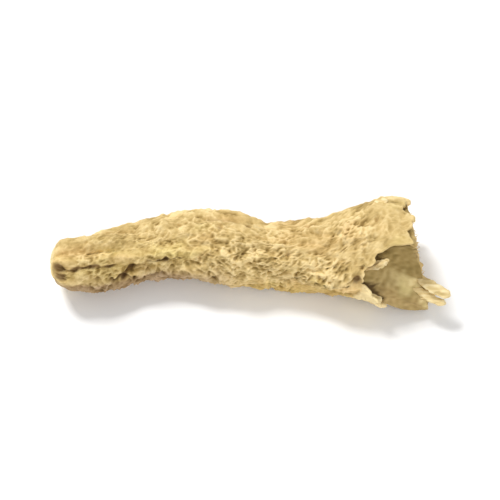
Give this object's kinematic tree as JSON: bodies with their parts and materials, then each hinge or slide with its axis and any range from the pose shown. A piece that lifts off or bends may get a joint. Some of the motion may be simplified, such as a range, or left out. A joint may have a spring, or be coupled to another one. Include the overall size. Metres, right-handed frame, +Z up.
{
  "type": "dried ginger root",
  "caption": "Dried finger of ginger root: a bent, wrinkled stick with a blunt end, a furrow and a flared end torn open to bare flesh.",
  "frame": {"origin": "middle of the box's underside, on the surface that the root lies on", "axes": "+X along the root from its blunt end to its torn, flared end; +Z up; -Y is the front, where the furrow and the bare flesh are"},
  "size_m": [0.0284, 0.008, 0.0063],
  "materials": {
    "dried_skin": "dry, matt, wrinkled tan skin with pale ridges and brown hollows",
    "torn_flesh": "dry, matt, fibrous grey-green to straw flesh where the skin is torn off"
  },
  "bodies": {
    "root": {"ginger_root": "dried_skin"}
  },
  "joints": []
}
